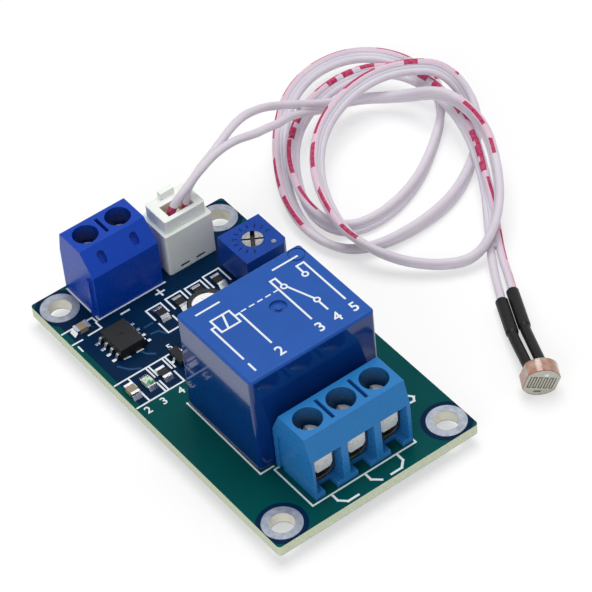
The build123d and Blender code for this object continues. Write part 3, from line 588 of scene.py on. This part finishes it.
def sweep(bm, layers, rings, side):
    """A closed skin over rings, each a distance and a place with its size in it."""
    old = verts = edges = None
    for distance, place in rings:
        if old is None:
            verts = bmesh.ops.create_circle(bm, segments=14, radius=1.0, cap_ends=True, matrix=place)["verts"]
            edges = list({edge for vert in verts for edge in vert.link_edges})
        else:
            grown = bmesh.ops.extrude_edge_only(bm, edges=edges)["geom"]
            verts = [item for item in grown if isinstance(item, bmesh.types.BMVert)]
            edges = [item for item in grown if isinstance(item, bmesh.types.BMEdge)
                     and item.verts[0] in verts and item.verts[1] in verts]
            bmesh.ops.transform(bm, matrix=place @ old.inverted(), verts=verts)
        old = place
        back = place.inverted()
        for vert in verts:
            local = back @ vert.co
            vert[layers["along"]] = distance if side else web_shift + distance
            vert[layers["edge"]] = side * local.x
            vert[layers["face"]] = side * local.y
            vert[layers["dashed"]] = blend_value(distance, dashed_stops) if side < 0 else 0.0
            vert[layers["blocked"]] = blend_value(distance, blocked_stops) if side < 0 else 0.0
    bmesh.ops.contextual_create(bm, geom=edges)


def lead_mesh(frames):
    """Two strands and the web that joins them, with the print's places as attributes."""
    bm = bmesh.new()
    layers = {name: bm.verts.layers.float.new(name) for name in print_attributes}
    total = frames[-1][0]
    spread = spread_stops + [(total - 14, strand / 2), (total - 3, sleeve_gap)]
    runs = {-1: [], 1: []}
    webs = [[]]
    for distance, point, wide, ahead in frames:
        half = blend_value(distance, spread)
        turned = Matrix((wide, ahead.cross(wide), ahead)).transposed().to_4x4()
        for side, rings in runs.items():
            middle = Matrix.Translation(point + wide * half * side)
            rings.append((distance, middle @ turned @ Matrix.Scale(strand / 2, 4)))
        if half < strand * 0.56:
            section = Matrix.Diagonal((half, web_thickness / 2, 1, 1))
            webs[-1].append((distance, Matrix.Translation(point) @ turned @ section))
        elif webs[-1]:
            webs.append([])
    for side, rings in runs.items():
        sweep(bm, layers, rings, side)
    for rings in webs:
        if len(rings) > 1:
            sweep(bm, layers, rings, 0)
    bmesh.ops.recalc_face_normals(bm, faces=bm.faces)
    return bm


lead_line = spline_points("lead_line", arch + first_turn + second_turn + third_turn + fourth_turn + tail)
lead = new_piece("sensor_lead_pair", lead_mesh(lead_frames(lead_line)), finishes["lead_insulation"],
                 smooth=True)
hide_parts("sensor_lead", "sensor_lead_coil", "sensor_lead_tail")


# Printed lines

ink_sunk = 0.005
ink_proud = 0.03
letter_thickness = 0.03
letter_turn = math.radians(90)


def stroke(bm, points, width, low, high, closed=False):
    """A printed line: one slab for each run, lapping at the corners a hair above or below the next."""
    runs = list(zip(points, points[1:] + points[:1] if closed else points[1:]))
    for start, end in runs:
        step = 0.0002 * (len(bm.faces) % 138)
        a, b = Vector(start), Vector(end)
        way = b - a
        turn = Matrix.Rotation(math.atan2(way.y, way.x), 4, "Z")
        size = Matrix.Diagonal((way.length + width, width, high - low - step, 1))
        middle = (a + b) / 2
        place = Matrix.Translation((middle.x, middle.y, (low + high - step) / 2))
        bmesh.ops.create_cube(bm, size=1.0, matrix=place @ turn @ size)


def words(name, text, height, at, low):
    """Plain characters as a thin slab, middle on the given place."""
    letters = bpy.data.curves.new(name, "FONT")
    letters.body = text
    letters.size = height
    letters.extrude = letter_thickness / 2
    letters.offset = height * 0.015
    letters.resolution_u = 3
    letters.align_x = "CENTER"
    letters.align_y = "CENTER"
    holder = bpy.data.objects.new(name, letters)
    bpy.context.scene.collection.objects.link(holder)
    mesh = bpy.data.meshes.new_from_object(holder)
    bpy.data.objects.remove(holder)
    bm = bmesh.new()
    bm.from_mesh(mesh)
    bpy.data.meshes.remove(mesh)
    move = Matrix.Translation((*at, low + letter_thickness / 2))
    bmesh.ops.transform(bm, matrix=move @ Matrix.Rotation(letter_turn, 4, "Z"), verts=bm.verts)
    return bm


def joined(*meshes):
    """Several meshes as one."""
    whole = bmesh.new()
    for part in meshes:
        mesh = bpy.data.meshes.new("part")
        part.to_mesh(mesh)
        part.free()
        whole.from_mesh(mesh)
        bpy.data.meshes.remove(mesh)
    return whole


ink_low, ink_high = board_top - ink_sunk, board_top + ink_proud
print_lines = [
    [(-26.53, -10.06), (-19.07, -10.06), (-19.04, 0.35)],
    [(0.5, -10.0), (16.12, -10.07), (16.12, -8.1)],
    [(16.67, -8.34), (24.45, -8.3), (24.45, 7.69), (16.67, 7.69), (16.67, -8.34)],
    [(-20.0, -15.3), (-19.98, -10.6), (-19.0, -10.5)],
    [(-18.92, -10.7), (-17.65, -10.67), (-17.62, -12.71)],
    [(-17.52, -15.3), (-17.49, -13.8)],
    [(-11.08, -11.6), (-10.97, -10.8)],
    [(-11.02, -9.65), (-11.0, -8.8)],
    [(-8.0, -15.3), (-8.0, -5.3), (-2.95, -5.3)],
    [(-2.95, -15.3), (-2.95, -8.0)],
    [(-8.0, -13.25), (-6.1, -13.25)],
    [(-8.0, -10.5), (-5.95, -10.5)],
    [(-8.0, -10.05), (-5.95, -10.05)],
    [(-8.0, -7.95), (-5.8, -7.95)],
    [(-8.0, -7.5), (-5.7, -7.5)],
    [(-4.95, -13.35), (-2.95, -13.35)],
    [(-4.95, -10.85), (-2.95, -10.85)],
    [(-4.95, -10.4), (-2.95, -10.4)],
    [(-5.1, -8.0), (-2.95, -8.0)],
    [(-13.3, -4.6), (-11.2, -4.6), (-11.2, -2.4), (-13.3, -2.4)],
    [(-14.2, -4.6), (-16.3, -4.6), (-16.3, -2.3), (-14.4, -2.3)],
    [(-14.2, -1.45), (-16.4, -1.45), (-16.4, 0.95), (-14.3, 0.95)],
    [(-14.1, 1.6), (-16.3, 1.6), (-16.3, 4.05), (-14.1, 4.05)],
    [(-14.0, 4.65), (-16.5, 4.65), (-16.5, 7.2), (-13.8, 7.2)],
    [(-12.7, 0.95), (-11.2, 0.95), (-11.2, -1.45), (-12.7, -1.45)],
]
bold_lines = [
    [(24.7, -5.45), (25.75, -5.45), (26.65, -4.55), (26.65, -3.0)],
    [(24.7, -0.3), (25.7, -0.3), (26.6, 0.7)],
    [(24.7, 4.65), (25.75, 4.65), (26.65, 3.75), (26.65, 2.15)],
    [(17.8, 11.85), (18.3, 12.25), (18.9, 11.85), (18.85, 11.3)],
]
bm = bmesh.new()
for points in print_lines:
    stroke(bm, points, 0.24, ink_low, ink_high)
for points in bold_lines:
    stroke(bm, points, 0.32, ink_low, ink_high)
sign_reach = 0.6
for x, y, plus in ((-18.0, -6.7, False), (-17.9, -1.2, True)):
    stroke(bm, [(x, y - sign_reach), (x, y + sign_reach)], 0.27, ink_low, ink_high)
    if plus:
        stroke(bm, [(x - sign_reach, y), (x + sign_reach, y)], 0.27, ink_low, ink_high)
places = [
    ("1", 1.7, (-16.2, -14.9)), ("2", 1.7, (-1.75, -14.4)), ("3", 1.7, (-1.75, -12.0)),
    ("4", 1.7, (-1.75, -9.3)), ("5", 1.5, (-8.95, -6.0)),
]
marks = [words("board_" + text, text, height, at, ink_low) for text, height, at in places]
new_piece("board_print", joined(bm, *marks), ink_white)

bm = bmesh.new()
for points in (
    [(-10.53, -13.0), (-9.2, -12.2), (-8.4, -11.0)],
    [(-11.0, -9.3), (-10.0, -8.9), (-9.3, -8.1)],
    [(-12.5, -6.4), (-12.3, -5.4), (-11.4, -4.9)],
    [(-14.0, -6.4), (-14.0, -5.2)],
):
    stroke(bm, points, 0.3, board_top - ink_sunk, board_top + 0.012)
new_piece("board_traces", bm, trace_blue)


# Sensor face: cream disc, brown track and the wire's end under clear resin

cell_back = Vector((24.58, 27.31, 2.78))
cell_front = Vector((26.32, 26.35, 2.54))
cell_radius = 2.55
cell_side = 2.2
cell_rim = 0.12
cell_roll = -18.0
ahead = (cell_front - cell_back).normalized()
level = Vector((0, 0, 1)).cross(ahead).normalized()
cell_frame = Matrix((level, ahead.cross(level), ahead)).transposed().to_4x4()
cell_frame.translation = cell_back + ahead * 2.0
cell_frame = cell_frame @ Matrix.Rotation(math.radians(cell_roll), 4, "Z")

bm = bmesh.new()
bmesh.ops.create_circle(bm, segments=48, radius=cell_radius - cell_rim, cap_ends=True)
for side in (-1, 1):
    everything = bm.verts[:] + bm.edges[:] + bm.faces[:]
    bmesh.ops.bisect_plane(bm, geom=everything, plane_co=(side * (cell_side - cell_rim), 0, 0),
                           plane_no=(side, 0, 0), clear_outer=True)
bmesh.ops.holes_fill(bm, edges=bm.edges)
bmesh.ops.recalc_face_normals(bm, faces=bm.faces)
bmesh.ops.solidify(bm, geom=bm.faces[:], thickness=0.03)
bmesh.ops.recalc_face_normals(bm, faces=bm.faces)
bmesh.ops.transform(bm, matrix=cell_frame @ Matrix.Translation((0, 0, 0.02)), verts=bm.verts)
new_piece("cell_face", bm, cream)

legs = 10
leg_reach = 1.0
track_width = 3.3
track = []
for leg in range(legs):
    across = (leg / (legs - 1) - 0.5) * track_width
    ends = [(across, -leg_reach), (across, leg_reach)]
    track += ends if leg % 2 else ends[::-1]
bm = bmesh.new()
stroke(bm, track, 0.15, 0.03, 0.06)
stroke(bm, [(-0.35, -1.75), (0.3, -1.7)], 0.3, 0.03, 0.06)
bmesh.ops.transform(bm, matrix=cell_frame, verts=bm.verts)
new_piece("cell_track", bm, film)

bm = bmesh.new()
bmesh.ops.create_uvsphere(bm, u_segments=20, v_segments=10, radius=0.3)
wire_end = Matrix.Translation((0.2, 1.55, 0.02)) @ Matrix.Diagonal((1, 1, 0.4, 1))
bmesh.ops.transform(bm, matrix=cell_frame @ wire_end, verts=bm.verts)
new_piece("cell_wire_end", bm, spark, smooth=True)


# Relay markings: a plain diagram of the coil and the changeover contact

relay_low, relay_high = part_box("relay_cover")
relay_x, relay_y = [(low + high) / 2 / MM for low, high in zip(relay_low[:2], relay_high[:2])]
relay_top = relay_high[2] / MM
low, high = relay_top - ink_sunk, relay_top + ink_proud
numeral_row = 5.7
numeral_height = 2.2
link_row = -2.8
ring_radius = 0.36
ring_sides = 16
coil_box = [(-6.9, -3.9), (-4.1, -3.9), (-4.1, -1.5), (-6.9, -1.5)]
diagram = [
    [(-5.9, -1.5), (-5.1, -3.9)],
    [(-6.9, -2.7), (-7.6, -2.7), (-7.6, 3.8)],
    [(-4.1, -2.7), (-3.4, -2.7), (-3.4, 3.8)],
    [(5.2, 2.1), (5.2, 3.8)],
    [(5.1, 1.3), (3.8, -2.4)],
    [(3.5, -3.2), (3.5, -4.6), (2.7, -4.6), (2.7, 3.8)],
    [(6.8, -3.2), (6.8, -4.6), (7.9, -4.6), (7.9, 3.8)],
    [(-7.6, -5.9), (-4.2, -5.9)],
    [(4.2, -6.0), (7.9, -6.0)],
]
contacts = [(5.2, 1.7), (3.5, -2.8), (6.8, -2.8)]
numerals = [("1", -7.6), ("2", -3.4), ("3", 2.7), ("4", 5.3), ("5", 7.9)]


def relay_spot(u, v):
    """A place on the lid: u along its length, v across it towards the output block."""
    return (relay_x + v, relay_y + u)


bm = bmesh.new()
for points in diagram:
    stroke(bm, [relay_spot(*point) for point in points], 0.27, low, high)
stroke(bm, [relay_spot(*point) for point in coil_box], 0.27, low, high, closed=True)
for dash in range(5):
    ends = [relay_spot(dash * 1.25 - 3.0, link_row), relay_spot(dash * 1.25 - 2.4, link_row)]
    stroke(bm, ends, 0.2, low, high)
turns = [math.tau * step / ring_sides for step in range(ring_sides)]
for u, v in contacts:
    ring = [relay_spot(u + ring_radius * math.cos(turn), v + ring_radius * math.sin(turn)) for turn in turns]
    stroke(bm, ring, 0.22, low, high, closed=True)
marks = [words("relay_" + text, text, numeral_height, relay_spot(u, numeral_row), low) for text, u in numerals]
new_piece("relay_print", joined(bm, *marks), ink_white)


# Stage, light and camera

floor_half = 4000
floor_grey = (0.93, 0.93, 0.93)
seen_rays = ("Is Camera Ray", "Is Glossy Ray", "Is Transmission Ray")
bm = bmesh.new()
bmesh.ops.create_grid(bm, x_segments=1, y_segments=1, size=floor_half)
bmesh.ops.scale(bm, vec=(MM, MM, MM), verts=bm.verts)
mesh = bpy.data.meshes.new("floor")
bm.to_mesh(mesh)
bm.free()
floor = bpy.data.objects.new("floor", mesh)
bpy.context.scene.collection.objects.link(floor)
paper = Finish("floor_paper", floor_grey, 0.9, specular_ior_level=0.0, emission_strength=1.0)
seen = paper.node("ShaderNodeLightPath", output=seen_rays[0])
for kind in seen_rays[1:]:
    seen = paper.maths("MAXIMUM", seen, paper.node("ShaderNodeLightPath", output=kind))
paper.set("Base Color", paper.mix(seen, floor_grey, (0.46, 0.46, 0.46)))
paper.set("Emission Color", paper.mix(seen, (0.0, 0.0, 0.0), (0.55, 0.55, 0.55)))
mesh.materials.append(paper.material)

world = bpy.data.worlds.new("studio")
bpy.context.scene.world = world
world.use_nodes = True
tree = world.node_tree
background = tree.nodes["Background"]
path = tree.nodes.new("ShaderNodeLightPath")
total = path.outputs[seen_rays[0]]
for kind in seen_rays[1:]:
    most = tree.nodes.new("ShaderNodeMath")
    most.operation = "MAXIMUM"
    tree.links.new(total, most.inputs[0])
    tree.links.new(path.outputs[kind], most.inputs[1])
    total = most.outputs[0]
strength = tree.nodes.new("ShaderNodeMapRange")
strength.inputs["To Min"].default_value = 0.38
strength.inputs["To Max"].default_value = 1.0
tree.links.new(total, strength.inputs["Value"])
tree.links.new(strength.outputs["Result"], background.inputs["Strength"])
background.inputs["Color"].default_value = (1, 1, 1, 1)


def softbox(name, place, aim, size, power):
    """A round lamp aimed at a place."""
    lamp = bpy.data.lights.new(name, "AREA")
    lamp.shape = "DISK"
    lamp.size = size
    lamp.energy = power
    holder = bpy.data.objects.new(name, lamp)
    bpy.context.scene.collection.objects.link(holder)
    holder.location = place
    holder.rotation_euler = (Vector(aim) - Vector(place)).to_track_quat("-Z", "Y").to_euler()


softbox("overhead", (-0.10, 0.10, 0.60), (0, 0, 0), 0.45, 2.3)
softbox("side_fill", (0.35, -0.45, 0.35), (0, 0, 0.01), 0.35, 0.9)

lens = bpy.data.cameras.new("camera")
lens.lens = 192.185
lens.clip_start = 0.01
camera = bpy.data.objects.new("camera", lens)
bpy.context.scene.collection.objects.link(camera)
stand = Vector((237.886, -144.871, 293.211)) * MM
aim = Vector((-1.070, 8.866, 8.837)) * MM
camera.location = stand
roll = Matrix.Rotation(math.radians(-6.014), 3, "Z").to_quaternion()
camera.rotation_euler = ((aim - stand).to_track_quat("-Z", "Y") @ roll).to_euler()
bpy.context.scene.camera = camera
bpy.context.scene.view_settings.view_transform = "Standard"
